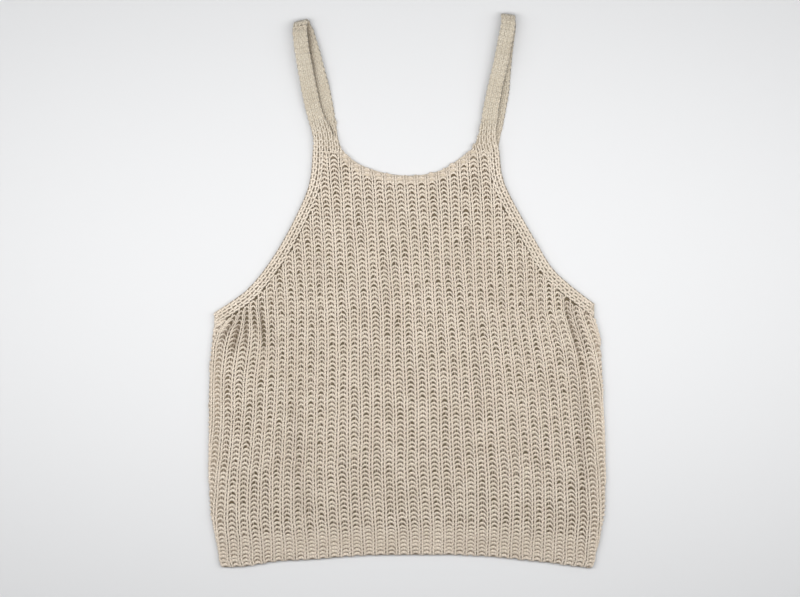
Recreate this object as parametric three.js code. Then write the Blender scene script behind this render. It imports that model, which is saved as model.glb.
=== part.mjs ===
import * as THREE from 'three';

// Open-knit tank top, lying flat on its back with the straps towards +Y.
// Millimetres. The back rests on z = 0 and the front lies on the back.
// The origin is the middle of the garment's box, on the underside.

// Cloth
const clothThickness = 2.6;
const seamGap = 0.3;
const layerGap = 0.4;
const edgeRounding = 1.1;
const edgeRoundingReach = 7;

// Edges
const hemHeight = 27;
const hemTopY = -272;
const neckBandWidth = 9;
const armholeBandWidth = 12;
const strapBaseY = 157;

// Straps
const strapLoopHeight = 14;
const strapChamfer = 0.6;
const foldBulge = 6;

// How finely the pieces are divided
const panelRows = 14;
const flatPanelRows = 5;
const armholeStations = 16;
const neckStations = 20;
const foldSteps = 6;

// Side edges of the body, from the hem corner to the underarm corner.
const sideEdges = [
  { y: -300, left: -211, right: 210 },
  { y: -278, left: -213, right: 215 },
  { y: -250, left: -218, right: 219.5 },
  { y: -200, left: -222, right: 222.5 },
  { y: -150, left: -222, right: 221 },
  { y: -105, left: -220, right: 218 },
  { y: -60, left: -217, right: 216 },
  { y: -24, left: -214, right: 210 },
];

// Armhole edges, from the underarm corner up to the foot of the strap.
const leftArmhole = [
  { x: -214, y: -24 },
  { x: -194, y: -11 },
  { x: -178, y: 1 },
  { x: -159, y: 23 },
  { x: -137, y: 57 },
  { x: -115, y: 101 },
  { x: -107, y: 127 },
  { x: -104.7, y: strapBaseY },
];
const rightArmhole = [
  { x: 208, y: -14 },
  { x: 188, y: 1 },
  { x: 175, y: 12 },
  { x: 160, y: 27 },
  { x: 142, y: 57 },
  { x: 117, y: 101 },
  { x: 106, y: 127 },
  { x: 102.5, y: strapBaseY },
];

// Neck edge, from the foot of the left strap to the foot of the right one.
const neckEdge = [
  { x: -72.4, y: strapBaseY },
  { x: -61, y: 146 },
  { x: -47, y: 138 },
  { x: -25, y: 131 },
  { x: 0, y: 128 },
  { x: 24, y: 130 },
  { x: 42, y: 136 },
  { x: 57, y: 146 },
  { x: 71.3, y: strapBaseY },
];

// Bottom edge, bowed upwards in the middle.
const hemEdge = [
  { x: -212, y: -307 },
  { x: -185, y: -306 },
  { x: -150, y: -300 },
  { x: -105, y: -298 },
  { x: -55, y: -293.5 },
  { x: 0, y: -293 },
  { x: 70, y: -293 },
  { x: 120, y: -297 },
  { x: 165, y: -302 },
  { x: 210, y: -308 },
];

// Soft ridges of the front, each running between two points.
const ridges = [
  { x0: -205, y0: -44, x1: -199, y1: -94, halfWidth: 8, height: 2.2 },
  { x0: -163, y0: -12, x1: -161, y1: -92, halfWidth: 9, height: 1.9 },
  { x0: 204, y0: -34, x1: 210, y1: -124, halfWidth: 7, height: 2.1 },
  { x0: 167, y0: -32, x1: 181, y1: -112, halfWidth: 8, height: 2.3 },
  { x0: 183, y0: -128, x1: 189, y1: -240, halfWidth: 8, height: 0.9 },
  { x0: -128, y0: -140, x1: -134, y1: -262, halfWidth: 7, height: 0.8 },
];

// Straps: middle and width of each section, from the foot up to the fold at the top.
// rise is how far the section has climbed from its layer (0) to the top of the loop (1).
// lean turns the section about its length, in degrees.
const straps = [
  {
    name: 'left_strap',
    foldTurn: 12,
    front: [
      { x: -88.6, y: strapBaseY + seamGap, width: 32, rise: 0, lean: 0 },
      { x: -90.8, y: 163, width: 27.5, rise: 0.02, lean: 0 },
      { x: -93.6, y: 172, width: 22.4, rise: 0.08, lean: 0 },
      { x: -99, y: 187, width: 18.6, rise: 0.2, lean: 0 },
      { x: -103.3, y: 200, width: 17.2, rise: 0.33, lean: 0 },
      { x: -107.6, y: 219, width: 16.7, rise: 0.55, lean: -2 },
      { x: -111.5, y: 240, width: 16.4, rise: 0.78, lean: -4 },
      { x: -116.2, y: 267, width: 15.8, rise: 0.96, lean: -5 },
      { x: -118.6, y: 288, width: 15.6, rise: 1, lean: -4 },
    ],
    back: [
      { x: -111.5, y: 288, width: 15.6, rise: 0.22, lean: 14 },
      { x: -104.8, y: 267, width: 15.6, rise: 0.24, lean: 18 },
      { x: -98.6, y: 242, width: 16, rise: 0.2, lean: 14 },
      { x: -93.6, y: 222, width: 16.4, rise: 0.1, lean: 7 },
      { x: -89.7, y: 199, width: 17, rise: 0.02, lean: 1 },
      { x: -87.4, y: 178, width: 19, rise: 0, lean: 0 },
      { x: -87.8, y: 166, width: 25, rise: 0, lean: 0 },
      { x: -88.6, y: strapBaseY + seamGap, width: 32, rise: 0, lean: 0 },
    ],
  },
  {
    name: 'right_strap',
    foldTurn: -8,
    front: [
      { x: 86.9, y: strapBaseY + seamGap, width: 31, rise: 0, lean: 0 },
      { x: 88, y: 163, width: 25, rise: 0.02, lean: 0 },
      { x: 88.9, y: 169, width: 20.6, rise: 0.06, lean: 0 },
      { x: 90.2, y: 179, width: 18, rise: 0.14, lean: 0 },
      { x: 92.3, y: 197, width: 17, rise: 0.32, lean: 0 },
      { x: 95.6, y: 216, width: 16.3, rise: 0.53, lean: 1 },
      { x: 99, y: 233, width: 15.8, rise: 0.72, lean: 2 },
      { x: 104.3, y: 255, width: 15.6, rise: 0.92, lean: 3 },
      { x: 108.4, y: 277, width: 15.6, rise: 1, lean: 3 },
      { x: 111.8, y: 294.6, width: 15.2, rise: 1, lean: 2 },
    ],
    back: [
      { x: 113.4, y: 294.6, width: 15.2, rise: 0.1, lean: 4 },
      { x: 110.8, y: 277, width: 15.6, rise: 0.09, lean: 6 },
      { x: 108.2, y: 255, width: 15.8, rise: 0.07, lean: 5 },
      { x: 105.4, y: 224, width: 16.4, rise: 0.03, lean: 2 },
      { x: 101.8, y: 204, width: 17, rise: 0, lean: 0 },
      { x: 98.2, y: 186, width: 17.6, rise: 0, lean: 0 },
      { x: 91.8, y: 167, width: 23, rise: 0, lean: 0 },
      { x: 86.9, y: strapBaseY + seamGap, width: 31, rise: 0, lean: 0 },
    ],
  },
];

const cloth = { color: 0xc9bca8, roughness: 0.92, metalness: 0 };
const closeKnit = { color: 0xc8bea9, roughness: 0.9, metalness: 0 };

// The two layers of cloth, by the heights of their lower and upper faces.
const layers = {
  back: { low: 0, high: clothThickness },
  front: { low: clothThickness + layerGap, high: 2 * clothThickness + layerGap },
};

const curveThrough = (rows) => new THREE.SplineCurve(rows.map((row) => new THREE.Vector2(row.x, row.y)));

const leftArmholeCurve = curveThrough(leftArmhole);
const rightArmholeCurve = curveThrough(rightArmhole);
const neckCurve = curveThrough(neckEdge);

// Value of a table's column at a given key, by straight lines between its rows.
function lookUp(rows, key, column, at) {
  const last = rows.length - 1;
  const clamped = THREE.MathUtils.clamp(at, rows[0][key], rows[last][key]);
  const next = Math.max(1, rows.findIndex((row) => row[key] >= clamped));
  const from = rows[next - 1];
  const to = rows[next];
  return THREE.MathUtils.mapLinear(clamped, from[key], to[key], from[column], to[column]);
}

const sideX = (side, y) => lookUp(sideEdges, 'y', side, y);
const hemY = (x) => lookUp(hemEdge, 'x', 'y', x);

// Height that the soft ridges add at a point of the front.
function ridgeHeight(x, y) {
  let height = 0;
  for (const ridge of ridges) {
    const line = new THREE.Line3(
      new THREE.Vector3(ridge.x0, ridge.y0, 0),
      new THREE.Vector3(ridge.x1, ridge.y1, 0),
    );
    const point = new THREE.Vector3(x, y, 0);
    const along = line.closestPointToPointParameter(point, false);
    const nearest = line.at(THREE.MathUtils.clamp(along, 0, 1), new THREE.Vector3());
    const offset = nearest.distanceTo(point) / ridge.halfWidth;
    const taper = Math.sin(Math.PI * THREE.MathUtils.clamp(0.15 + 0.7 * along, 0, 1));
    height += ridge.height * Math.max(0, taper) * Math.exp(-offset * offset);
  }
  return height;
}

// Faces of one layer at a point that lies edgeDistance in from a free edge.
function facesAt(layer, x, y, edgeDistance) {
  const near = 1 - Math.min(1, edgeDistance / edgeRoundingReach);
  const rounding = edgeRounding * near * near;
  if (layer === layers.back) {
    return { x, y, low: layer.low, high: layer.high };
  }
  const lift = ridgeHeight(x, y) * (1 - near);
  return { x, y, low: layer.low + lift, high: layer.high + lift - rounding };
}

// Closed slab over a grid of points, each with its own lower and upper height.
function slabGeometry(grid) {
  const columns = grid.length;
  const rows = grid[0].length;
  const positions = [];
  for (const column of grid) {
    for (const point of column) {
      positions.push(point.x, point.y, point.low);
      positions.push(point.x, point.y, point.high);
    }
  }
  const low = (i, j) => 2 * (i * rows + j);
  const high = (i, j) => low(i, j) + 1;
  const indices = [];
  const quad = (a, b, c, d) => indices.push(a, b, c, a, c, d);
  for (let i = 0; i < columns - 1; i += 1) {
    for (let j = 0; j < rows - 1; j += 1) {
      quad(high(i, j), high(i + 1, j), high(i + 1, j + 1), high(i, j + 1));
      quad(low(i, j), low(i, j + 1), low(i + 1, j + 1), low(i + 1, j));
    }
    quad(low(i, 0), low(i + 1, 0), high(i + 1, 0), high(i, 0));
    quad(low(i, rows - 1), high(i, rows - 1), high(i + 1, rows - 1), low(i + 1, rows - 1));
  }
  for (let j = 0; j < rows - 1; j += 1) {
    quad(low(0, j), high(0, j), high(0, j + 1), low(0, j + 1));
    quad(low(columns - 1, j), low(columns - 1, j + 1), high(columns - 1, j + 1), high(columns - 1, j));
  }
  const geometry = new THREE.BufferGeometry();
  geometry.setAttribute('position', new THREE.Float32BufferAttribute(positions, 3));
  geometry.setIndex(indices);
  geometry.computeVertexNormals();
  return geometry;
}

// Points along an edge curve, each with the step that leads into the cloth by one unit.
// At both ends the step turns to the given direction, so that the strip is cut there.
function edgeStations(curve, count, inwards, endSteps) {
  const stations = [];
  const turnShare = 0.14;
  for (let k = 0; k <= count; k += 1) {
    const share = k / count;
    const point = curve.getPointAt(share);
    const tangent = curve.getTangentAt(share);
    const step = new THREE.Vector2(-tangent.y, tangent.x).multiplyScalar(inwards);
    const startPull = Math.max(0, 1 - share / turnShare);
    const endPull = Math.max(0, 1 - (1 - share) / turnShare);
    step.lerp(endSteps.start, startPull);
    step.lerp(endSteps.end, endPull);
    stations.push({ point, step });
  }
  return stations;
}

const along = (station, distance) => station.point.clone().addScaledVector(station.step, distance);

const down = new THREE.Vector2(0, -1.2);
const toLeft = new THREE.Vector2(-1, 0);
const toRight = new THREE.Vector2(1, 0);

const leftArmholeStations = edgeStations(leftArmholeCurve, armholeStations, -1, { start: down, end: toRight });
const rightArmholeStations = edgeStations(rightArmholeCurve, armholeStations, 1, { start: down, end: toLeft });
const neckBandStations = edgeStations(neckCurve, neckStations, -1, { start: toLeft, end: toRight });

// Strip of even width along an edge.
function bandGrid(layer, stations, width) {
  const shares = [0, 0.3, 0.6, 1];
  return shares.map((share) => stations.map((station) => {
    const distance = share * width;
    const point = along(station, distance);
    return facesAt(layer, point.x, point.y, distance);
  }));
}

// Upper boundary of a body panel: left armhole, left horn, neck, right horn, right armhole.
function panelTopEdge() {
  const armholeInset = armholeBandWidth + seamGap;
  const neckInset = neckBandWidth + seamGap;
  const left = leftArmholeStations.map((station) => along(station, armholeInset));
  const neck = neckBandStations.map((station) => along(station, neckInset));
  const right = rightArmholeStations.map((station) => along(station, armholeInset)).reverse();
  return [...left, ...neck, ...right];
}

// Share of the way across the body where each column of the panel stands at the hem.
function columnShares(topEdge) {
  const lengths = [0];
  for (let k = 1; k < topEdge.length; k += 1) {
    lengths.push(lengths[k - 1] + topEdge[k].distanceTo(topEdge[k - 1]));
  }
  const first = topEdge[0].x;
  const last = topEdge[topEdge.length - 1].x;
  return topEdge.map((point, k) => {
    const byLength = lengths[k] / lengths[lengths.length - 1];
    const byWidth = (point.x - first) / (last - first);
    return 0.45 * byLength + 0.55 * byWidth;
  });
}

const acrossBody = (share, y) => THREE.MathUtils.lerp(sideX('left', y), sideX('right', y), share);

// Where a column of the body starts, on the line between the hem rib and the panel.
function columnFoot(share) {
  const x = acrossBody(share, hemTopY);
  return new THREE.Vector2(x, hemY(x) + hemHeight);
}

const fromSides = (x, y) => Math.max(0, Math.min(x - sideX('left', y), sideX('right', y) - x));

// Columns of a body panel, fanning from the hem rib up to the panel's top edge.
function panelGrid(layer, rows) {
  const topEdge = panelTopEdge();
  const shares = columnShares(topEdge);
  return topEdge.map((top, k) => {
    const foot = columnFoot(shares[k]);
    const lean = top.x - acrossBody(shares[k], top.y);
    const column = [];
    for (let j = 0; j <= rows; j += 1) {
      const climb = j / rows;
      const y = THREE.MathUtils.lerp(foot.y + seamGap, top.y, climb);
      const x = j === 0 ? foot.x : acrossBody(shares[k], y) + lean * climb ** 2;
      column.push(facesAt(layer, x, y, fromSides(x, y)));
    }
    return column;
  });
}

// Ribbed strip along the bottom edge, its columns meeting those of the panel.
function hemGrid(layer) {
  const climbs = [0, 0.25, 1];
  return columnShares(panelTopEdge()).map((share) => {
    const top = columnFoot(share);
    return climbs.map((climb) => {
      const x = climb === 1 ? top.x : acrossBody(share, hemTopY - (1 - climb) * hemHeight);
      const y = climb === 1 ? top.y : hemY(x) + climb * hemHeight;
      return facesAt(layer, x, y, Math.min(fromSides(x, y), climb * hemHeight));
    });
  });
}

// One section of a strap: its middle, and the directions of its width.
function strapSection(row, layer, turn) {
  const middle = (layer.low + layer.high) / 2;
  const topMiddle = strapLoopHeight - clothThickness / 2;
  return {
    middle: new THREE.Vector3(row.x, row.y, THREE.MathUtils.lerp(middle, topMiddle, row.rise)),
    width: row.width,
    turn,
    lean: row.lean,
  };
}

// Sections of the rounded fold between the front and the back of a strap.
function foldSections(from, to, foldTurn) {
  const sections = [];
  const reach = (from.middle.z - to.middle.z) / 2;
  for (let k = 1; k < foldSteps; k += 1) {
    const share = k / foldSteps;
    const angle = Math.PI * share;
    const middle = from.middle.clone().lerp(to.middle, share ** 2);
    middle.z = (from.middle.z + to.middle.z) / 2 + reach * Math.cos(angle);
    middle.y += (reach + foldBulge * Math.sin(angle)) * Math.sin(angle);
    sections.push({
      middle,
      width: THREE.MathUtils.lerp(from.width, to.width, share),
      turn: foldTurn,
      lean: THREE.MathUtils.lerp(from.lean, to.lean, share),
    });
  }
  return sections;
}

// In-plane turn of a strap section, square to the strap's own direction.
function turnsAlong(rows) {
  return rows.map((row, k) => {
    const before = rows[Math.max(0, k - 1)];
    const after = rows[Math.min(rows.length - 1, k + 1)];
    if (k === 0 || k === rows.length - 1) {
      const isFoot = row.y < strapBaseY + 1;
      if (isFoot) return 0;
    }
    const heading = Math.atan2(after.y - before.y, after.x - before.x);
    const square = THREE.MathUtils.radToDeg(heading) - 90;
    return square < -90 ? square + 180 : square;
  });
}

// Closed body swept through sections of chamfered rectangles.
function strapGeometry(strap) {
  const frontTurns = turnsAlong(strap.front);
  const backTurns = turnsAlong(strap.back);
  const front = strap.front.map((row, k) => strapSection(row, layers.front, frontTurns[k]));
  const back = strap.back.map((row, k) => strapSection(row, layers.back, backTurns[k]));
  const fold = foldSections(front[front.length - 1], back[0], strap.foldTurn);
  const sections = [...front, ...fold, ...back];
  const half = clothThickness / 2;
  const positions = [];
  sections.forEach((section, k) => {
    const before = sections[Math.max(0, k - 1)].middle;
    const after = sections[Math.min(sections.length - 1, k + 1)].middle;
    const heading = after.clone().sub(before).normalize();
    if (k === 0) heading.set(0, 1, 0);
    if (k === sections.length - 1) heading.set(0, -1, 0);
    const turn = THREE.MathUtils.degToRad(section.turn);
    const lean = THREE.MathUtils.degToRad(section.lean);
    const across = new THREE.Vector3(Math.cos(turn), Math.sin(turn), 0);
    across.multiplyScalar(Math.cos(lean)).setZ(Math.sin(lean));
    const inner = new THREE.Vector3().crossVectors(heading, across).normalize();
    const edge = section.width / 2;
    const profile = [
      [-edge, -half + strapChamfer], [-edge + strapChamfer, -half],
      [edge - strapChamfer, -half], [edge, -half + strapChamfer],
      [edge, half - strapChamfer], [edge - strapChamfer, half],
      [-edge + strapChamfer, half], [-edge, half - strapChamfer],
    ];
    for (const [side, depth] of profile) {
      const point = section.middle.clone().addScaledVector(across, side).addScaledVector(inner, depth);
      positions.push(point.x, point.y, point.z);
    }
  });
  const ring = 8;
  const indices = [];
  for (let k = 0; k < sections.length - 1; k += 1) {
    for (let m = 0; m < ring; m += 1) {
      const a = k * ring + m;
      const b = k * ring + (m + 1) % ring;
      indices.push(a, b, b + ring, a, b + ring, a + ring);
    }
  }
  const lastRing = (sections.length - 1) * ring;
  for (let m = 1; m < ring - 1; m += 1) {
    indices.push(0, m + 1, m);
    indices.push(lastRing, lastRing + m, lastRing + m + 1);
  }
  const geometry = new THREE.BufferGeometry();
  geometry.setAttribute('position', new THREE.Float32BufferAttribute(positions, 3));
  geometry.setIndex(indices);
  geometry.computeVertexNormals();
  return geometry;
}

function named(name, geometry, finish) {
  const mesh = new THREE.Mesh(geometry, new THREE.MeshStandardMaterial(finish));
  mesh.name = name;
  return mesh;
}

const tankTop = new THREE.Group();
for (const [side, layer] of Object.entries(layers)) {
  const rows = side === 'front' ? panelRows : flatPanelRows;
  const neckGrid = bandGrid(layer, neckBandStations, neckBandWidth);
  const leftGrid = bandGrid(layer, leftArmholeStations, armholeBandWidth);
  const rightGrid = bandGrid(layer, rightArmholeStations, armholeBandWidth).reverse();
  tankTop.add(named(`${side}_panel`, slabGeometry(panelGrid(layer, rows)), cloth));
  tankTop.add(named(`${side}_hem_rib`, slabGeometry(hemGrid(layer)), cloth));
  tankTop.add(named(`${side}_neck_band`, slabGeometry(neckGrid), closeKnit));
  tankTop.add(named(`${side}_left_armhole_band`, slabGeometry(leftGrid), closeKnit));
  tankTop.add(named(`${side}_right_armhole_band`, slabGeometry(rightGrid), closeKnit));
}
for (const strap of straps) {
  tankTop.add(named(strap.name, strapGeometry(strap), closeKnit));
}

export default tankTop;
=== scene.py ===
import math

import bmesh
import bpy
import numpy as np
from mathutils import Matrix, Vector
from mathutils.bvhtree import BVHTree


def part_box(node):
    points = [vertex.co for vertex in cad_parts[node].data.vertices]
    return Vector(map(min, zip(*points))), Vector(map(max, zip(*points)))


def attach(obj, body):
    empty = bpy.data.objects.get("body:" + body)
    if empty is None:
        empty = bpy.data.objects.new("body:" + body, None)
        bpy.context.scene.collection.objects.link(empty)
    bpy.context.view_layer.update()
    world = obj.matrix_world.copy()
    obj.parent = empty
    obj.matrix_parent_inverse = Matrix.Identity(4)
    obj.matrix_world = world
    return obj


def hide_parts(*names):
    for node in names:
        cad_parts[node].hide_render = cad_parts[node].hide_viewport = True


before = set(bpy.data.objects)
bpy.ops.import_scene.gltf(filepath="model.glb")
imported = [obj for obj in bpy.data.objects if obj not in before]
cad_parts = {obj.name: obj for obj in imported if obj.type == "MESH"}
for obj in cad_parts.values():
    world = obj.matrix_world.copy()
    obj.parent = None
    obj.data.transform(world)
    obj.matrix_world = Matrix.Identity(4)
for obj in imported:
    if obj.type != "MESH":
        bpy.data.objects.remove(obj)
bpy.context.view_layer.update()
print("frame loaded")

mm = 0.001
dice = np.random.default_rng(7)

ribKnit = {
    "ribsEachSide": 22,        # ribs either side of the middle one
    "coursePitch": 4.9 * mm,
    "yarnRadius": 1.08 * mm,
    "hemPitch": 4.1 * mm,      # the courses of the hem lie closer
    "hemCourses": 7,
    "unevenness": 0.16 * mm,   # how far a stitch may sit from its place
}
closeKnit = {
    "coursePitch": 6.2 * mm,
    "yarnRadius": 1.25 * mm,
    "unevenness": 0.10 * mm,
}

# Where some of the ribs run: x in mm of every eighth rib at a few heights on the front.
ribRuns = [
    {"y": 160, "farLeft": -196, "left": -100, "middle": -4, "right": 91, "farRight": 180},
    {"y": 112, "farLeft": -190, "left": -97, "middle": -1, "right": 94, "farRight": 182},
    {"y": 46, "farLeft": -182, "left": -92.5, "middle": 3, "right": 97, "farRight": 184},
    {"y": -21, "farLeft": -178, "left": -90, "middle": 8, "right": 100, "farRight": 187},
    {"y": -66, "farLeft": -178, "left": -89, "middle": 9, "right": 104, "farRight": 197},
    {"y": -133, "farLeft": -182, "left": -90, "middle": 11, "right": 111, "farRight": 206},
    {"y": -199, "farLeft": -188, "left": -92.5, "middle": 12, "right": 116, "farRight": 213},
    {"y": -266, "farLeft": -189, "left": -89, "middle": 15, "right": 116, "farRight": 215},
    {"y": -310, "farLeft": -188, "left": -88, "middle": 16, "right": 116, "farRight": 214},
]
runNames = ["farLeft", "left", "middle", "right", "farRight"]

# One repeat of the open rib: place across (ribs), up (courses), height over the cloth (mm)
# and yarn size. It runs up one leg of the knit wale, behind its head, down the other leg and
# over the purl arc.
openStitch = {
    "across": [-0.065, -0.125, -0.14, 0, 0.14, 0.125, 0.065, 0.185, 0.24, 0.36, 0.50, 0.64, 0.76, 0.815],
    "up": [-0.52, -0.02, 0.44, 0.62, 0.44, -0.02, -0.52, -0.64, -0.24, 0.05, 0.16, 0.05, -0.24, -0.64],
    "lift": [-0.15, 0.62, 0.35, -0.9, 0.35, 0.62, -0.15, -0.9, -0.45, -0.15, 0, -0.15, -0.45, -0.9],
    "size": [1.02, 1.16, 1.1, 0.8, 1.1, 1.16, 1.02, 1.0, 1.22, 1.32, 1.36, 1.32, 1.22, 1.0],
}
arcPoints = slice(8, 13)       # the part of the stitch that is the purl arc
# Short strands that cross the gap under each arc.
gapStrands = [{"across": 0.405}, {"across": 0.59}]
# The strands lie low in the cloth; their shade value is painted shade on their colour.
strandLooks = {"low": -0.92, "high": -0.02, "lift": -0.85 * mm, "yarnRadius": 0.62 * mm,
               "missing": 0.18, "shade": 0.34}
# One plain stitch: the foot, leg, head, leg and foot of a loop, then the link to the next.
plainStitch = {
    "across": [0, 0.40, 0.27, 0.17, 0.5, 0.83, 0.73, 0.60],
    "up": [-0.60, -0.52, 0, 0.44, 0.64, 0.44, 0, -0.52],
    "lift": [-0.75, -0.15, 0.40, 0.15, -0.7, 0.15, 0.40, -0.15],
    "size": [0.9, 1.0, 1.12, 1.0, 0.9, 1.0, 1.12, 1.0],
}


def clothTree(names):
    # one tree over several nodes, with the node that each face belongs to
    points, faces, owners = [], [], []
    for name in names:
        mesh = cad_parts[name].data
        start = len(points)
        points += [vertex.co.copy() for vertex in mesh.vertices]
        for polygon in mesh.polygons:
            faces.append([start + index for index in polygon.vertices])
            owners.append(name)
    return BVHTree.FromPolygons(points, faces), owners


def layerNames(side):
    return [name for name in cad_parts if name.startswith(side + "_")]


strapNames = ["left_strap", "right_strap"]
trees = {side: clothTree(layerNames(side) + strapNames) for side in ("front", "back")}
strapFoot = {"front": 190 * mm, "back": 184 * mm}   # where the strap's own tube of knitting starts


def surfaceUnder(side, x, y):
    # height of the layer's outer face at a point, and the node there
    tree, owners = trees[side]
    down = -1.0 if side == "front" else 1.0
    for aside, along in ((0, 0), (0, 0.6), (0, -0.6), (0.6, 0), (-0.6, 0)):
        start = Vector((x + aside * mm, y + along * mm, -0.1 * down))
        hit, _, index, _ = tree.ray_cast(start, Vector((0, 0, down)))
        if hit is not None:
            return hit.z, owners[index]
    return None, None


hemPoints = np.array([vertex.co[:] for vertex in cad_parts["front_hem_rib"].data.vertices])
hemStops = np.linspace(hemPoints[:, 0].min(), hemPoints[:, 0].max(), 25)
hemLevels = np.array([
    hemPoints[np.abs(hemPoints[:, 0] - stop) < 10 * mm][:, 1].min() for stop in hemStops
])
hemMiddle = float(np.interp(0, hemStops, hemLevels))


# Soft creases of the front: a line in mm from one point to another, how far they reach
# to each side, how much they lift (or sink) the cloth, and how much painted shade darkens them.
creases = [
    {"x0": 179, "y0": -9, "x1": 199, "y1": -72, "reach": 3.2, "lift": -0.9, "shade": 0.22},
    {"x0": 174, "y0": -12, "x1": 191.5, "y1": -76, "reach": 1.7, "lift": -0.8, "shade": 0.46},
    {"x0": 188, "y0": -16, "x1": 205, "y1": -96, "reach": 5.5, "lift": 2.2, "shade": 0.0},
    {"x0": 160, "y0": -4, "x1": 178, "y1": -80, "reach": 7, "lift": 1.4, "shade": 0.0},
    {"x0": 193, "y0": -80, "x1": 197, "y1": -252, "reach": 4, "lift": -0.8, "shade": 0.16},
    {"x0": 206, "y0": -100, "x1": 209, "y1": -250, "reach": 6, "lift": 1.0, "shade": 0.0},
    {"x0": -163, "y0": -14, "x1": -158, "y1": -64, "reach": 2.2, "lift": -0.9, "shade": 0.55},
    {"x0": -170, "y0": -20, "x1": -167.6, "y1": -46, "reach": 2.0, "lift": -0.8, "shade": 0.45},
    {"x0": -178, "y0": -22, "x1": -179, "y1": -62, "reach": 2.4, "lift": -0.9, "shade": 0.55},
    {"x0": -185, "y0": -27, "x1": -193, "y1": -68, "reach": 2.4, "lift": -0.9, "shade": 0.50},
    {"x0": -191, "y0": -30, "x1": -206, "y1": -56, "reach": 2.2, "lift": -0.8, "shade": 0.40},
    {"x0": -186, "y0": -42, "x1": -191, "y1": -66, "reach": 7, "lift": -0.4, "shade": 0.14},
    {"x0": -202, "y0": -40, "x1": -206, "y1": -120, "reach": 5, "lift": 1.3, "shade": 0.0},
    {"x0": -140, "y0": -106, "x1": -126, "y1": -262, "reach": 8, "lift": 0.9, "shade": 0.0},
    {"x0": -128, "y0": -110, "x1": -116, "y1": -250, "reach": 6, "lift": -0.7, "shade": 0.12},
]


def creaseAt(x, y):
    # lift in metres and painted shade (0 none, 1 black) at arrays of points
    lift, shade = np.zeros(len(x)), np.zeros(len(x))
    for crease in creases:
        start = np.array([crease["x0"], crease["y0"]]) * mm
        run = np.array([crease["x1"], crease["y1"]]) * mm - start
        along = ((x - start[0]) * run[0] + (y - start[1]) * run[1]) / (run @ run)
        nearX, nearY = start[0] + np.clip(along, 0, 1) * run[0], start[1] + np.clip(along, 0, 1) * run[1]
        away = np.hypot(x - nearX, y - nearY) / (crease["reach"] * mm)
        taper = np.sin(math.pi * np.clip(0.12 + 0.76 * along, 0, 1))
        strength = np.maximum(taper, 0) * np.exp(-away ** 2)
        lift += crease["lift"] * mm * strength
        shade += crease["shade"] * strength
    return lift, shade


# Under the arms the ribs are drawn together: how far (mm) each place moves, at a few heights.
gatherPlaces = [-216, -205, -194, -183, -172, -161, -150, -128, -100, 150, 160, 171, 182, 193, 204, 215]
gathers = [
    {"y": -22, "shifts": [21, 15, 10.5, 5.3, 2.1, 0, 0, 0, 0, 0, -1.8, -2.7, -4, -5, -6, -7]},
    {"y": -30, "shifts": [17, 13.3, 9, 5.5, 3, 1.7, 0, 0, 0, 0, -1.4, -2.2, -3.4, -4.4, -5, -6]},
    {"y": -45, "shifts": [4, 2.5, 5.1, 5.7, 4.7, 3.4, 0.4, 0, 0, 0, -0.8, -1.4, -2.4, -3, -3.4, -4]},
    {"y": -61, "shifts": [-1, -0.5, 1.1, 2.6, 4.4, 3.3, 0.9, 0, 0, 0, 0, 0, -0.8, -1, -1.4, -2]},
    {"y": -99, "shifts": [-1, -1.5, -0.8, 0, 0.9, 1.5, 2, 1, 0, 0, 0, 0, 0, 0, 0, 0]},
    {"y": -150, "shifts": [0, 0, 0, 0, 0, 0, 0, 0, 0, 0, 0, 0, 0, 0, 0, 0]},
]
# How much narrower the body lies than its solid, as a share of the way from the middle.
drawnIn = [
    {"y": -312, "share": 0.040}, {"y": -305, "share": 0.026}, {"y": -298, "share": 0.015},
    {"y": -283, "share": 0.015}, {"y": -266, "share": 0.008}, {"y": -250, "share": 0.002},
    {"y": -220, "share": 0.004}, {"y": -188, "share": 0.010}, {"y": -140, "share": 0.006},
    {"y": -110, "share": -0.001}, {"y": -80, "share": -0.004}, {"y": -30, "share": 0},
]


def drawIn(x, y):
    heights = [row["y"] * mm for row in drawnIn]
    return x * (1 - np.interp(y, heights, [row["share"] for row in drawnIn]))


sidePoints = np.array([
    vertex.co[:]
    for name in ("front_panel", "front_hem_rib")
    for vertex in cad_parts[name].data.vertices
])
sideLevels = np.linspace(hemMiddle, -26 * mm, 20)
sideReach = {
    hand: np.array([
        pick(sidePoints[np.abs(sidePoints[:, 1] - level) < 11 * mm][:, 0]) for level in sideLevels
    ])
    for hand, pick in (("left", np.min), ("right", np.max))
}
sideRoll = {"inset": 1.6 * mm, "depth": 4.2 * mm, "topLevel": -22 * mm}


def ribX(rib, y):
    # x of a place across the ribs, at a height on the garment
    heights = np.array([row["y"] for row in ribRuns]) * mm
    order = np.argsort(heights)
    stops = np.array([
        np.interp(y, heights[order], np.array([row[name] for row in ribRuns])[order] * mm)
        for name in runNames
    ])
    ribs = np.array([-16.0, -8.0, 0.0, 8.0, 16.0])
    step = np.clip(np.floor((rib + 16) / 8).astype(int), 0, 3)
    share = (rib - ribs[step]) / 8
    columns = np.arange(len(rib))
    x = stops[step, columns] * (1 - share) + stops[step + 1, columns] * share
    rows = gathers[::-1]
    shifts = np.array([np.interp(x / mm, gatherPlaces, row["shifts"]) for row in rows])
    heights = np.array([row["y"] for row in rows])
    row = np.clip(np.searchsorted(heights, y / mm) - 1, 0, len(rows) - 2)
    share = np.clip((y / mm - heights[row]) / (heights[row + 1] - heights[row]), 0, 1)
    return x + mm * (shifts[row, columns] * (1 - share) + shifts[row + 1, columns] * share)


def courseY(course, x):
    # courses follow the bowed hem at the bottom and straighten higher up
    bow = np.interp(x, hemStops, hemLevels) - hemMiddle
    fade = np.clip(1 - course / 62, 0, 1)
    hemCourses = ribKnit["hemCourses"]
    closer = np.minimum(course, hemCourses) * (ribKnit["coursePitch"] - ribKnit["hemPitch"])
    return hemMiddle + (course + 0.6) * ribKnit["coursePitch"] - closer + bow * fade


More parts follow.
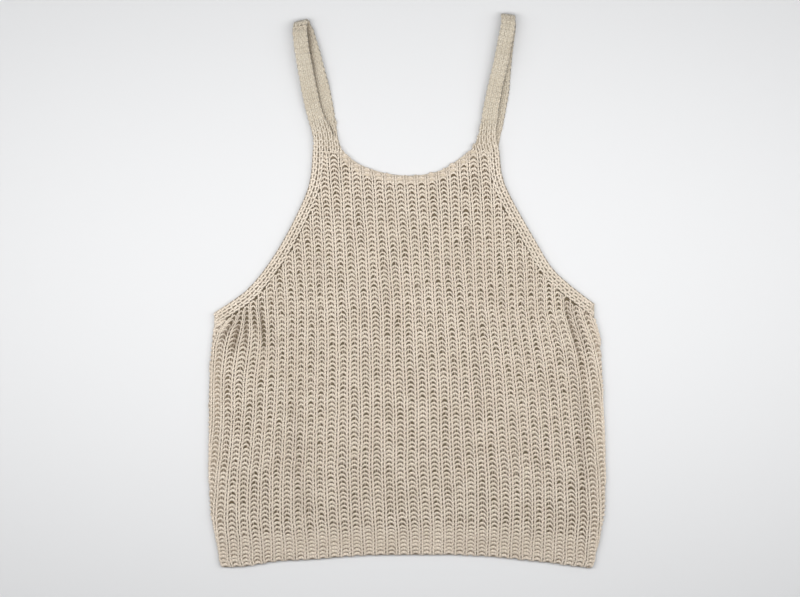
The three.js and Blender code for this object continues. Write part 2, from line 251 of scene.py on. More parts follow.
def yarnMesh(name, runs):
    # each run is a dictionary of points, radii and the outward direction at each point
    cornersAt = np.radians([45, 135, 225, 315])
    allPoints, allFaces, twistUv, sheetUv = [], [], [], []
    start = 0
    for row, run in enumerate(runs):
        points, radii, out = run["points"], run["radii"], run["out"]
        ahead = np.gradient(points, axis=0)
        ahead /= np.linalg.norm(ahead, axis=1, keepdims=True) + 1e-12
        side = np.cross(ahead, out)
        side /= np.linalg.norm(side, axis=1, keepdims=True) + 1e-12
        lift = np.cross(side, ahead)
        ring = (side[:, None, :] * np.cos(cornersAt)[None, :, None]
                + lift[:, None, :] * np.sin(cornersAt)[None, :, None])
        ring = points[:, None, :] + ring * radii[:, None, None]
        allPoints.append(ring.reshape(-1, 3))
        count = len(points)
        along = np.concatenate([[0], np.cumsum(np.linalg.norm(np.diff(points, axis=0), axis=1))])
        step = np.arange(count - 1)
        for corner in range(4):
            other = (corner + 1) % 4
            a = start + step * 4 + corner
            b = start + step * 4 + other
            allFaces.append(np.stack([a, b, b + 4, a + 4], axis=1))
            near, far = along[:-1] / 0.01, along[1:] / 0.01
            low, high = np.full(count - 1, corner / 4), np.full(count - 1, (corner + 1) / 4)
            twistUv.append(np.stack([near, low, near, high, far, high, far, low], axis=1))
            rowLow = (row + 0.08 + 0.84 * low) / len(runs)
            rowHigh = (row + 0.08 + 0.84 * high) / len(runs)
            nearShare, farShare = step / (count - 1), (step + 1) / (count - 1)
            sheetUv.append(np.stack([nearShare, rowLow, nearShare, rowHigh,
                                     farShare, rowHigh, farShare, rowLow], axis=1))
        start += count * 4
    points = np.concatenate(allPoints)
    faces = np.concatenate(allFaces)
    points[:, 0] = drawIn(points[:, 0], points[:, 1])
    mesh = bpy.data.meshes.new(name)
    mesh.from_pydata(points.tolist(), [], faces.tolist())
    for layerName, values in (("OFBake", sheetUv), ("yarnUv", twistUv)):
        layer = mesh.uv_layers.new(name=layerName)
        layer.data.foreach_set("uv", np.concatenate(values).reshape(-1))
    # Painted shade: each point's shade, with the creases' painted shade on the front, is kept in an
    # attribute that darkens the yarn's colour.
    deep = np.repeat(np.concatenate([run["deep"] for run in runs]), 4)
    if name.startswith("front"):
        deep = deep + creaseAt(points[:, 0], points[:, 1])[1]
    shade = mesh.attributes.new("yarnShade", "FLOAT", "POINT")
    shade.data.foreach_set("value", np.clip(deep, 0, 0.7))
    mesh.polygons.foreach_set("use_smooth", np.ones(len(faces), dtype=bool))
    mesh.update()
    piece = bpy.data.objects.new(name, mesh)
    bpy.context.scene.collection.objects.link(piece)
    return piece


def runsFromMask(points, radii, out, inside, least, deep):
    # cuts a course where it leaves the cloth
    runs, begin = [], None
    for index in range(len(inside) + 1):
        if index < len(inside) and inside[index]:
            begin = index if begin is None else begin
        elif begin is not None:
            if index - begin >= least:
                cut = slice(begin, index)
                run = {"points": points, "radii": radii, "out": out, "deep": deep}
                runs.append({key: values[cut] for key, values in run.items()})
            begin = None
    return runs


def smoothed(points, radii, out, softness):
    # rounds the path a little so that the yarn bends rather than kinks
    soft = points.copy()
    soft[1:-1] = points[1:-1] * (1 - softness) + (points[:-2] + points[2:]) * softness / 2
    return soft, radii, out


neckCurve = np.array([
    (-72.4, 157), (-61, 146), (-47, 138), (-25, 131), (0, 128),
    (24, 130), (42, 136), (57, 146), (71.3, 157),
]) * mm


def neckGap(x, y):
    # how far points lie below the neck's edge, measured square to it
    walk = np.stack([np.linspace(neckCurve[0, 0], neckCurve[-1, 0], 80)] * 2, axis=1)
    walk[:, 1] = np.interp(walk[:, 0], neckCurve[:, 0], neckCurve[:, 1])
    gaps = np.hypot(x[:, None] - walk[None, :, 0], y[:, None] - walk[None, :, 1])
    return gaps.min(axis=1)


denseness = {"neck_band": 0.0}                       # 1 is open, 0 is closed up
hemFade = {"low": -276 * mm, "reach": 20 * mm}       # the rib closes up towards the hem


columnPhase = dice.uniform(0, 2 * math.pi, 2 * ribKnit["ribsEachSide"] + 1)
columnSize = dice.normal(0, 0.035, 2 * ribKnit["ribsEachSide"] + 1)


def gapRuns(side, course):
    # the strands behind one course of arcs, on the front only
    runs = []
    for rib in range(-ribKnit["ribsEachSide"], ribKnit["ribsEachSide"]):
        for strand in gapStrands:
            if dice.random() < strandLooks["missing"]:
                continue
            across = rib + strand["across"] + dice.normal(0, 0.022)
            lean = dice.normal(0, 0.02)
            ribs = np.array([across - lean, across, across + lean])
            ups = course + np.array([strandLooks["low"], -0.45, strandLooks["high"]])
            y = courseY(ups, ribX(ribs, hemMiddle + ups * ribKnit["coursePitch"]))
            x = ribX(ribs, y)
            heights = [surfaceUnder(side, x[index], y[index]) for index in range(3)]
            if any(height is None or not node.endswith(("panel", "hem_rib")) for height, node in heights):
                continue
            z = np.array([height for height, node in heights]) + strandLooks["lift"] + creaseAt(x, y)[0]
            if ribX(ribs + 0.5, y)[1] - ribX(ribs - 0.5, y)[1] < 9.5 * mm:
                continue
            size = strandLooks["yarnRadius"] * dice.normal(1, 0.12)
            runs.append({"points": np.stack([x, y, z], axis=1), "radii": np.full(3, size),
                         "out": np.tile([0, 0, 1.0], (3, 1)), "deep": np.full(3, strandLooks["shade"])})
    return runs


def ribCourse(side, course):
    places = np.arange(-ribKnit["ribsEachSide"], ribKnit["ribsEachSide"] + 1)
    stitches, count = len(openStitch["up"]), len(places)
    ribs = np.repeat(places, stitches) + np.tile(openStitch["across"], count)
    ups = course + np.tile(openStitch["up"], count)
    lifts = np.tile(openStitch["lift"], count) * mm
    sizes = np.tile(openStitch["size"], count)
    wander = ribKnit["unevenness"]
    shiftX = np.repeat(dice.normal(0, wander, count), stitches)
    shiftY = np.repeat(dice.normal(0, wander, count), stitches)
    loose = np.repeat(dice.normal(1, 0.05, count), stitches)
    ribNumber = np.repeat(np.arange(count), stitches)
    inArc = np.tile(np.isin(np.arange(stitches), np.arange(stitches)[arcPoints]), count)
    arcRise = np.repeat(dice.normal(0, 0.035, count), stitches) * inArc
    arcSize = 1 + (np.repeat(dice.normal(0, 0.06, count), stitches) + columnSize[ribNumber]
                   + 0.05 * np.sin(course * 0.33 + columnPhase[ribNumber])) * inArc
    ups = ups + arcRise
    sizes = sizes * arcSize
    ribs = ribs + 0.035 * np.sin(course * 0.19 + columnPhase[ribNumber] * 1.7)
    y = courseY(ups, ribX(ribs, np.full(len(ribs), hemMiddle + course * ribKnit["coursePitch"])))
    x = ribX(ribs, y)
    y = courseY(ups, x) + shiftY
    x = x + shiftX
    z, inside, openness = np.zeros(len(x)), np.zeros(len(x), dtype=bool), np.ones(len(x))
    leftEdge = np.interp(y, sideLevels, sideReach["left"]) + sideRoll["inset"]
    rightEdge = np.interp(y, sideLevels, sideReach["right"]) - sideRoll["inset"]
    past = np.where(y < sideRoll["topLevel"], np.maximum(np.maximum(leftEdge - x, x - rightEdge), 0), 0)
    facing = np.where(x < 0, -1.0, 1.0)
    roll = np.clip(past / sideRoll["depth"], 0, 1) * math.pi / 2
    x = np.where(past > 0, np.where(x < 0, leftEdge, rightEdge), x)
    for index in range(len(x)):
        height, node = surfaceUnder(side, x[index], y[index])
        if height is None or "armhole" in node or "strap" in node:
            continue
        inside[index] = True
        z[index] = height
        openness[index] = denseness.get(node.split("_", 1)[1], 1.0)
    inside &= past < sideRoll["depth"] * 1.15
    edgeGap = neckGap(x, y)
    openness = openness * np.clip((edgeGap - 8 * mm) / (5 * mm), 0, 1)
    openness = openness * (0.2 + 0.8 * np.clip((y - hemFade["low"]) / hemFade["reach"], 0, 1))
    spacing = (ribX(ribs + 0.5, y) - ribX(ribs - 0.5, y)) / (12.2 * mm)
    sizes = sizes * np.clip(spacing, 0.5, 1.05) ** 0.8
    radii = ribKnit["yarnRadius"] * sizes * loose * (1 + (0.06 + 0.16 * inArc) * (1 - openness))
    nearNeck = np.clip(1 - edgeGap / (9 * mm), 0, 1)
    # Painted shade: the yarn is darkened on the low parts of each stitch, near the neck's edge and towards
    # the hem.
    deep = 0.22 * np.clip(-lifts / (0.9 * mm), 0, 1) + 0.13 * np.sqrt(nearNeck)
    deep = deep + 0.07 * (1 - np.clip((y - hemFade["low"]) / hemFade["reach"], 0, 1))
    lifts = lifts * (0.55 + 0.45 * openness) - (0.6 + 0.7 * nearNeck) * mm * (1 - openness) * inArc
    outwards = 1.0
    if side == "back":
        outwards = -1.0
        radii = radii * 0.9
        lifts = lifts * 0.6 - 1.35 * mm
    else:
        lift, shade = creaseAt(x, y)
        z = z + lift
        radii = radii * (1 - 0.45 * np.clip(shade, 0, 0.6))      # stretched thinner where it sinks in
    sinking = (np.abs(z - 2.8 * mm) - 0.9 * mm) * (1 - np.cos(roll))
    x = x + facing * (sideRoll["inset"] * 0.8 + lifts) * np.sin(roll)
    points = np.stack([x, y, z + outwards * (lifts * np.cos(roll) - sinking)], axis=1)
    out = np.stack([facing * np.sin(roll), np.zeros(len(x)), outwards * np.cos(roll)], axis=1)
    return smoothed(points, radii, out, 0.12), inside, deep


def ribRunsOf(side, firstCourse, lastCourse):
    runs = []
    for course in range(firstCourse, lastCourse):
        (points, radii, out), inside, deep = ribCourse(side, course)
        runs += runsFromMask(points, radii, out, inside, 5, deep)
        if side == "front":
            runs += gapRuns(side, course)
    return runs


courseCount = int((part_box("front_neck_band")[1][1] + 10 * mm - hemMiddle) / ribKnit["coursePitch"])
print("courses", courseCount)
bands = {"Lower": (0, 28), "Middle": (28, 56), "Upper": (56, courseCount + 1)}
ribPieces = {"front": [], "back": []}
for side in ("front", "back"):
    for bandName, (firstCourse, lastCourse) in bands.items():
        piece = yarnMesh(side + "Rib" + bandName, ribRunsOf(side, firstCourse, lastCourse))
        ribPieces[side].append(piece)
        print(piece.name, len(piece.data.polygons) * 2, "triangles")

# Straps: the middle and width of each section in mm, its share of the climb to the top of the
# loop, and its lean in degrees. The front half goes up to the fold, the back half comes down.
strapRows = {
    "left": {
        "foldTurn": 12,
        "front": {
            "x": [-88.6, -90.8, -93.6, -99, -103.3, -107.6, -111.5, -116.2, -118.6],
            "y": [157.3, 163, 172, 187, 200, 219, 240, 267, 288],
            "width": [32, 27.5, 22.4, 18.6, 17.2, 16.7, 16.4, 15.8, 15.6],
            "rise": [0, 0.02, 0.08, 0.2, 0.33, 0.55, 0.78, 0.96, 1],
            "lean": [0, 0, 0, 0, 0, -2, -4, -5, -4],
        },
        "back": {
            "x": [-111.5, -104.8, -98.6, -93.6, -89.7, -87.4, -87.8, -88.6],
            "y": [288, 267, 242, 222, 199, 178, 166, 157.3],
            "width": [15.6, 15.6, 16, 16.4, 17, 19, 25, 32],
            "rise": [0.22, 0.24, 0.2, 0.1, 0.02, 0, 0, 0],
            "lean": [14, 18, 14, 7, 1, 0, 0, 0],
        },
    },
    "right": {
        "foldTurn": -8,
        "front": {
            "x": [86.9, 88, 88.9, 90.2, 92.3, 95.6, 99, 104.3, 108.4, 111.8],
            "y": [157.3, 163, 169, 179, 197, 216, 233, 255, 277, 294.6],
            "width": [31, 25, 20.6, 18, 17, 16.3, 15.8, 15.6, 15.6, 15.2],
            "rise": [0, 0.02, 0.06, 0.14, 0.32, 0.53, 0.72, 0.92, 1, 1],
            "lean": [0, 0, 0, 0, 0, 1, 2, 3, 3, 2],
        },
        "back": {
            "x": [113.4, 110.8, 108.2, 105.4, 101.8, 98.2, 91.8, 86.9],
            "y": [294.6, 277, 255, 224, 204, 186, 167, 157.3],
            "width": [15.2, 15.6, 15.8, 16.4, 17, 17.6, 23, 31],
            "rise": [0.1, 0.09, 0.07, 0.03, 0, 0, 0, 0],
            "lean": [4, 6, 5, 2, 0, 0, 0, 0],
        },
    },
}
strapCloth = {"thickness": 2.6, "frontMiddle": 4.3, "backMiddle": 1.3, "topMiddle": 12.7, "foldBulge": 6}
# How wide the painted shade beside the front half is, low and high on each strap.
strapShade = {"left": (1.4 * mm, 5.0 * mm), "right": (1.2 * mm, 1.2 * mm), "strength": 0.55}


# Armhole edges in mm, from the underarm corner up to the foot of the strap.
armholeEdges = {
    "left": [
        (-214, -24), (-194, -11), (-178, 1), (-159, 23),
        (-137, 57), (-115, 101), (-107, 127), (-104.7, 157),
    ],
    "right": [
        (208, -14), (188, 1), (175, 12), (160, 27),
        (142, 57), (117, 101), (106, 127), (102.5, 157),
    ],
}


def smoothCurve(points, count):
    # an even walk along a soft curve through a few points
    knots = np.array(points, dtype=float)
    padded = np.vstack([2 * knots[0] - knots[1], knots, 2 * knots[-1] - knots[-2]])
    walk = []
    for index in range(1, len(padded) - 2):
        before, start, end, after = padded[index - 1:index + 3]
        for share in np.linspace(0, 1, 24, endpoint=False):
            walk.append(0.5 * (2 * start + (end - before) * share
                               + (2 * before - 5 * start + 4 * end - after) * share ** 2
                               + (3 * start - before - 3 * end + after) * share ** 3))
    walk = np.array(walk + [knots[-1]])
    lengths = np.concatenate([[0], np.cumsum(np.linalg.norm(np.diff(walk, axis=0), axis=1))])
    even = np.linspace(0, lengths[-1], count)
    curve = np.stack([np.interp(even, lengths, walk[:, axis]) for axis in range(walk.shape[1])], axis=1)
    return curve, lengths[-1]


def plainCourses(stitchCount, courses, place, thickness, closed=False):
    # place gives points, outward directions, which are on the cloth, and added painted shade
    runs = []
    points = len(plainStitch["up"])
    for course in range(courses):
        stitch = np.repeat(np.arange(stitchCount), points) + np.tile(plainStitch["across"], stitchCount)
        up = np.tile(plainStitch["up"], stitchCount) + course
        lift = np.tile(plainStitch["lift"], stitchCount) * mm
        radii = np.tile(plainStitch["size"], stitchCount) * np.repeat(thickness, points)
        radii = radii * np.repeat(dice.normal(1, 0.04, stitchCount), points)
        # painted shade on the low parts of each stitch
        deep = 0.2 * np.clip(-lift / (0.9 * mm), 0, 1)
        if closed:
            stitch = np.append(stitch, stitch[0] + stitchCount)
            up, lift, radii, deep = (np.append(values, values[0]) for values in (up, lift, radii, deep))
        path, out, inside, extra = place(stitch, up, lift)
        path = path + dice.normal(0, closeKnit["unevenness"], path.shape)
        runs += runsFromMask(path, radii, out, inside, 5, deep + extra)
    return runs


def outerEdge(side, hand):
    # the armhole's edge, carried on up the outer edge of the strap's foot
    away = -1 if hand == "left" else 1
    half = strapRows[hand][side]
    sections = zip(half["x"], half["y"], half["width"])
    foot = [(x + away * width / 2, y) for x, y, width in sections if 160 < y < 210]
    foot.sort(key=lambda spot: spot[1])
    (firstX, firstY), (nextX, nextY) = armholeEdges[hand][:2]
    lead = (firstX * 1.6 - nextX * 0.6, firstY * 1.6 - nextY * 0.6)     # starts a little outside the corner
    return [lead] + armholeEdges[hand] + foot


def armholeRuns(side, hand):
    edge, length = smoothCurve(np.array(outerEdge(side, hand)) * mm, 500)
    ahead = np.gradient(edge, axis=0)
    ahead /= np.linalg.norm(ahead, axis=1, keepdims=True)
    inwards = np.stack([ahead[:, 1], -ahead[:, 0]], axis=1) * (1 if hand == "left" else -1)
    stitchCount = 6
    courses = int(length / closeKnit["coursePitch"]) + 2

    def place(stitch, up, lift):
        at = np.clip(up * closeKnit["coursePitch"] / length, -0.02, 1.02) * (len(edge) - 1)
        spots = np.arange(len(edge))
        over = np.clip(at, 0, len(edge) - 1)
        base = np.stack([np.interp(over, spots, edge[:, axis]) for axis in (0, 1)], axis=1)
        lead = np.stack([np.interp(over, spots, inwards[:, axis]) for axis in (0, 1)], axis=1)
        waleWidth = np.interp(base[:, 1], [150 * mm, 180 * mm], [6.1 * mm, 5.2 * mm])
        spot = base + lead * (0.5 * mm + stitch * waleWidth)[:, None]
        points, inside = np.zeros((len(spot), 3)), np.zeros(len(spot), dtype=bool)
        outwards = 1.0 if side == "front" else -1.0
        for index, (x, y) in enumerate(spot):
            height, node = surfaceUnder(side, x, y)
            inside[index] = height is not None and y < strapFoot[side] and (
                "armhole" in node or y > 152 * mm or abs(x) > 202 * mm and stitch[index] < 2.7)
            rise = lift[index] + 0.25 * mm if side == "front" else lift[index] * 0.7 - 1.1 * mm
            points[index] = (x, y, (height or 0) + outwards * rise)
        if side == "front":
            points[:, 2] += creaseAt(spot[:, 0], spot[:, 1])[0]
        return points, np.tile([0, 0, outwards], (len(spot), 1)), inside, np.zeros(len(spot))

    thickness = np.array([1.38, 1.24, 1.14, 1.12, 1.12, 1.12]) * mm      # fuller at the edge
    return plainCourses(stitchCount, courses, place, thickness)


armholePieces = {"front": [], "back": []}
for side in ("front", "back"):
    for hand in ("left", "right"):
        piece = yarnMesh(side + hand.capitalize() + "ArmholeKnit", armholeRuns(side, hand))
        armholePieces[side].append(piece)
print("armhole bands knitted")


def strapHalf(half, layerMiddle):
    # middle, width, turn and lean of each section of one half of a strap
    sections = []
    rows = list(zip(*half.values()))
    for index, (x, y, width, rise, lean) in enumerate(rows):
        before, after = rows[max(0, index - 1)], rows[min(len(rows) - 1, index + 1)]
        turn = math.degrees(math.atan2(after[1] - before[1], after[0] - before[0])) - 90
        turn = turn + 180 if turn < -90 else turn
        if y < 158:
            turn = 0
        z = layerMiddle + (strapCloth["topMiddle"] - layerMiddle) * rise
        sections.append((x, y, z, width, turn, lean))
    return sections


def strapSections(hand):
    rows = strapRows[hand]
    front = strapHalf(rows["front"], strapCloth["frontMiddle"])
    back = strapHalf(rows["back"], strapCloth["backMiddle"])
    start, end = np.array(front[-1]), np.array(back[0])
    reach = (start[2] - end[2]) / 2
    fold = []
    for step in range(1, 8):
        share = step / 8
        section = start + (end - start) * share
        angle = math.pi * share
        section[:2] = start[:2] + (end[:2] - start[:2]) * share ** 2
        section[2] = (start[2] + end[2]) / 2 + reach * math.cos(angle)
        section[1] += (reach + strapCloth["foldBulge"] * math.sin(angle)) * math.sin(angle)
        section[4] = rows["foldTurn"]
        fold.append(tuple(section))
    return np.array(front + fold + back)


def strapRuns(hand):
    sections = strapSections(hand)
    walk, length = smoothCurve(sections * [mm, mm, mm, mm, 1, 1], 500)
    middles = walk[:, :3]
    ahead = np.gradient(middles, axis=0)
    ahead /= np.linalg.norm(ahead, axis=1, keepdims=True)
    turn, lean = np.radians(walk[:, 4]), np.radians(walk[:, 5])
    across = np.stack([np.cos(turn) * np.cos(lean), np.sin(turn) * np.cos(lean), np.sin(lean)], axis=1)
    inner = np.cross(ahead, across)
    inner /= np.linalg.norm(inner, axis=1, keepdims=True)
    stitchCount = 7
    alongLength = np.concatenate([[0], np.cumsum(np.linalg.norm(np.diff(middles, axis=0), axis=1))])
    rising = middles[:, 1]
    firstSpot = np.argmax(rising > strapFoot["front"] - 3 * mm)
    lastSpot = len(rising) - 1 - np.argmax(rising[::-1] > strapFoot["back"] - 3 * mm)
    startLength, endLength = alongLength[firstSpot], alongLength[lastSpot]
    courses = int((endLength - startLength) / closeKnit["coursePitch"]) + 1
    halfThick = (strapCloth["thickness"] / 2 - 0.75) * mm
    frontHalf = strapRows[hand]["front"]
    frontHeights = np.array(frontHalf["y"]) * mm
    frontEdge = (np.array(frontHalf["x"]) + np.array(frontHalf["width"]) / 2) * mm
    foldSpot = np.argmax(rising)

    def place(stitch, up, lift):
        walkedUp = startLength + up * closeKnit["coursePitch"]
        at = np.interp(walkedUp, alongLength, np.arange(len(walk)))
        spots = np.arange(len(walk))

        def blend(values):
            columns = [np.interp(at, spots, values[:, axis]) for axis in range(values.shape[1])]
            return np.stack(columns, axis=1)

        middle, side, deep = blend(middles), blend(across), blend(inner)
        halfWide = np.interp(at, spots, walk[:, 3]) / 2 - 0.9 * mm
        straight = 2 * (halfWide - halfThick)
        bend = math.pi * halfThick
        walked = (stitch / stitchCount % 1) * (2 * straight + 2 * bend)
        points, out = np.zeros((len(at), 3)), np.zeros((len(at), 3))
        for index in range(len(at)):
            s, flat, turnLength = walked[index], straight[index], bend
            if s < flat:
                sideways, depth, facing = s - flat / 2, -halfThick, (0, -1)
            elif s < flat + turnLength:
                angle = (s - flat) / halfThick - math.pi / 2
                facing = (math.cos(angle), math.sin(angle))
                sideways, depth = flat / 2 + halfThick * facing[0], halfThick * facing[1]
            elif s < 2 * flat + turnLength:
                sideways, depth, facing = flat / 2 - (s - flat - turnLength), halfThick, (0, 1)
            else:
                angle = (s - 2 * flat - turnLength) / halfThick + math.pi / 2
                facing = (math.cos(angle), math.sin(angle))
                sideways, depth = -flat / 2 + halfThick * facing[0], halfThick * facing[1]
            normal = side[index] * facing[0] + deep[index] * facing[1]
            points[index] = middle[index] + side[index] * sideways + deep[index] * depth
            points[index] += normal * lift[index] * 0.6
            out[index] = normal
        # painted shade darkens the half that lies behind, beside the edge of the half in front
        gap = points[:, 0] - np.interp(points[:, 1], frontHeights, frontEdge)
        wide = np.interp(points[:, 1], [225 * mm, 285 * mm], strapShade[hand])
        behind = (at > foldSpot) * strapShade["strength"] * np.exp(-(np.maximum(gap, 0) / wide) ** 2)
        return points, out, np.ones(len(at), dtype=bool), behind

    thickness = np.full(stitchCount, closeKnit["yarnRadius"])
    return plainCourses(stitchCount, courses, place, thickness, closed=True)


strapPieces = {hand: yarnMesh(hand + "StrapKnit", strapRuns(hand)) for hand in ("left", "right")}
print("straps knitted")


def underCloth(node, topDrop, bottomRise):
    # thin shell on the node's own form, a little inside it
    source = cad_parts[node].data
    words = node.split("_")
    name = words[0] + "".join(word.capitalize() for word in words[1:]) + "Cloth"
    mesh = source.copy()
    mesh.name = name
    mesh.materials.clear()
    piece = bpy.data.objects.new(name, mesh)
    bpy.context.scene.collection.objects.link(piece)
    work = bmesh.new()
    work.from_mesh(mesh)
    bmesh.ops.remove_doubles(work, verts=work.verts, dist=1e-6)
    bmesh.ops.recalc_face_normals(work, faces=work.faces)
    work.normal_update()
    for vertex in work.verts:
        if node.endswith("strap"):
            vertex.co -= vertex.normal * 0.55 * mm
        elif vertex.normal.z > 0:
            vertex.co.z -= topDrop
            if node.startswith("front"):
                lift = creaseAt(np.array([vertex.co.x]), np.array([vertex.co.y]))[0][0]
                vertex.co.z += max(lift, -0.9 * mm)
        else:
            vertex.co.z += bottomRise
        if node.endswith(("panel", "hem_rib")):
            vertex.co.x = float(drawIn(vertex.co.x, vertex.co.y))
    for face in work.faces:
        face.smooth = False
    work.to_mesh(mesh)
    work.free()
    return piece


clothPieces = {}
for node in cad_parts:
    if node.startswith("front"):
        clothPieces[node] = underCloth(node, 1.35 * mm, 0.0)
    else:
        clothPieces[node] = underCloth(node, 0.0, 1.75 * mm)
print("cloth laid under the yarn")


def makeFibreGroup():
    # twist of the plies and loose fibres along a yarn, from its own UV map
    group = bpy.data.node_groups.new("yarnFibres", "ShaderNodeTree")
    for name, value in (("Twists per cm", 3.4), ("Fibre Scale", 900.0)):
        socket = group.interface.new_socket(name=name, in_out="INPUT", socket_type="NodeSocketFloat")
        socket.default_value = value
    for name in ("Groove", "Mottle", "Height"):
        group.interface.new_socket(name=name, in_out="OUTPUT", socket_type="NodeSocketFloat")
    nodes, links = group.nodes, group.links
    inputs, outputs = nodes.new("NodeGroupInput"), nodes.new("NodeGroupOutput")
    uv = nodes.new("ShaderNodeUVMap")
    uv.uv_map = "yarnUv"
    split = nodes.new("ShaderNodeSeparateXYZ")
    links.new(uv.outputs["UV"], split.inputs[0])
    turns = nodes.new("ShaderNodeMath")
    turns.operation = "MULTIPLY"
    links.new(split.outputs["X"], turns.inputs[0])
    links.new(inputs.outputs["Twists per cm"], turns.inputs[1])
    slant = nodes.new("ShaderNodeMath")
    slant.operation = "MULTIPLY_ADD"
    slant.inputs[1].default_value = 2.0
    links.new(split.outputs["Y"], slant.inputs[0])
    links.new(turns.outputs[0], slant.inputs[2])
    wave = nodes.new("ShaderNodeMath")
    wave.operation = "PINGPONG"
    wave.inputs[1].default_value = 0.5
    links.new(slant.outputs[0], wave.inputs[0])
    groove = nodes.new("ShaderNodeMapRange")
    groove.interpolation_type = "SMOOTHSTEP"
    groove.inputs["From Min"].default_value = 0.0
    groove.inputs["From Max"].default_value = 0.28
    links.new(wave.outputs[0], groove.inputs["Value"])
    place = nodes.new("ShaderNodeTexCoord")
    fibre = nodes.new("ShaderNodeTexNoise")
    fibre.inputs["Detail"].default_value = 3.0
    links.new(place.outputs["Object"], fibre.inputs["Vector"])
    links.new(inputs.outputs["Fibre Scale"], fibre.inputs["Scale"])
    mottle = nodes.new("ShaderNodeTexNoise")
    mottle.inputs["Scale"].default_value = 55.0
    mottle.inputs["Detail"].default_value = 4.0
    links.new(place.outputs["Object"], mottle.inputs["Vector"])
    speck = nodes.new("ShaderNodeTexNoise")
    speck.inputs["Scale"].default_value = 480.0
    speck.inputs["Detail"].default_value = 2.0
    links.new(place.outputs["Object"], speck.inputs["Vector"])
    both = nodes.new("ShaderNodeMix")
    both.inputs["Factor"].default_value = 0.55
    links.new(mottle.outputs["Fac"], both.inputs["A"])
    links.new(speck.outputs["Fac"], both.inputs["B"])
    height = nodes.new("ShaderNodeMath")
    height.operation = "MULTIPLY_ADD"
    height.inputs[1].default_value = 0.5
    links.new(fibre.outputs["Fac"], height.inputs[0])
    links.new(groove.outputs["Result"], height.inputs[2])
    links.new(groove.outputs["Result"], outputs.inputs["Groove"])
    links.new(both.outputs["Result"], outputs.inputs["Mottle"])
    links.new(height.outputs[0], outputs.inputs["Height"])
    return group


fibreGroup = makeFibreGroup()


def climbFactor(nodes, links, low, high):
    # 0 below one height on the garment and 1 above another
    place = nodes.new("ShaderNodeTexCoord")
    split = nodes.new("ShaderNodeSeparateXYZ")
    climb = nodes.new("ShaderNodeMapRange")
    climb.interpolation_type = "SMOOTHSTEP"
    climb.inputs["From Min"].default_value = low
    climb.inputs["From Max"].default_value = high
    links.new(place.outputs["Object"], split.inputs[0])
    links.new(split.outputs["Y"], climb.inputs["Value"])
    return climb.outputs["Result"]


def sideFactor(nodes, links, near, far):
    # 0 up to one distance from the middle line and 1 past another
    place = nodes.new("ShaderNodeTexCoord")
    split = nodes.new("ShaderNodeSeparateXYZ")
    away = nodes.new("ShaderNodeMath")
    away.operation = "ABSOLUTE"
    reach = nodes.new("ShaderNodeMapRange")
    reach.inputs["From Min"].default_value = near
    reach.inputs["From Max"].default_value = far
    links.new(place.outputs["Object"], split.inputs[0])
    links.new(split.outputs["X"], away.inputs[0])
    links.new(away.outputs[0], reach.inputs["Value"])
    return reach.outputs["Result"]


def yarnMaterial(name, look):
    material = bpy.data.materials.new(name)
    material.use_nodes = True
    nodes, links = material.node_tree.nodes, material.node_tree.links
    shader = nodes["Principled BSDF"]
    shader.inputs["Roughness"].default_value = look["roughness"]
    shader.inputs["Sheen Weight"].default_value = look["sheen"]
    shader.inputs["Sheen Roughness"].default_value = 0.6
    shader.inputs["Specular IOR Level"].default_value = 0.2
    fibres = nodes.new("ShaderNodeGroup")
    fibres.node_tree = fibreGroup
    fibres.inputs["Twists per cm"].default_value = look["twist"]
    mottled = nodes.new("ShaderNodeMix")
    mottled.data_type = "RGBA"
    mottled.inputs["A"].default_value = look["darker"]
    mottled.inputs["B"].default_value = look["lighter"]
    spread = nodes.new("ShaderNodeMapRange")
    spread.inputs["From Min"].default_value = 0.38
    spread.inputs["From Max"].default_value = 0.62
    links.new(fibres.outputs["Mottle"], spread.inputs["Value"])
    links.new(spread.outputs["Result"], mottled.inputs["Factor"])
    # Painted shade: the yarn is darker in the grooves between its plies, besides their bump.
    grooved = nodes.new("ShaderNodeMix")
    grooved.data_type = "RGBA"
    grooved.inputs["A"].default_value = look["groove"]
    links.new(mottled.outputs["Result"], grooved.inputs["B"])
    links.new(fibres.outputs["Groove"], grooved.inputs["Factor"])
    # Painted shade: the yarn's colour is mixed towards dark brown by the painted shade attribute.
    crease = nodes.new("ShaderNodeAttribute")
    crease.attribute_name = "yarnShade"
    shaded = nodes.new("ShaderNodeMix")
    shaded.data_type = "RGBA"
    shaded.inputs["B"].default_value = (0.16, 0.10, 0.055, 1)
    links.new(grooved.outputs["Result"], shaded.inputs["A"])
    links.new(crease.outputs["Fac"], shaded.inputs["Factor"])
    tinted = nodes.new("ShaderNodeMix")
    tinted.data_type = "RGBA"
    tinted.blend_type = "MULTIPLY"
    tinted.inputs["B"].default_value = look["strapTint"]
    links.new(shaded.outputs["Result"], tinted.inputs["A"])
    links.new(climbFactor(nodes, links, 0.135, 0.205), tinted.inputs["Factor"])
    links.new(tinted.outputs["Result"], shader.inputs["Base Color"])
    bump = nodes.new("ShaderNodeBump")
    bump.inputs["Strength"].default_value = 0.5
    bump.inputs["Distance"].default_value = 0.25 * mm
    links.new(fibres.outputs["Height"], bump.inputs["Height"])
    links.new(bump.outputs["Normal"], shader.inputs["Normal"])
    return material


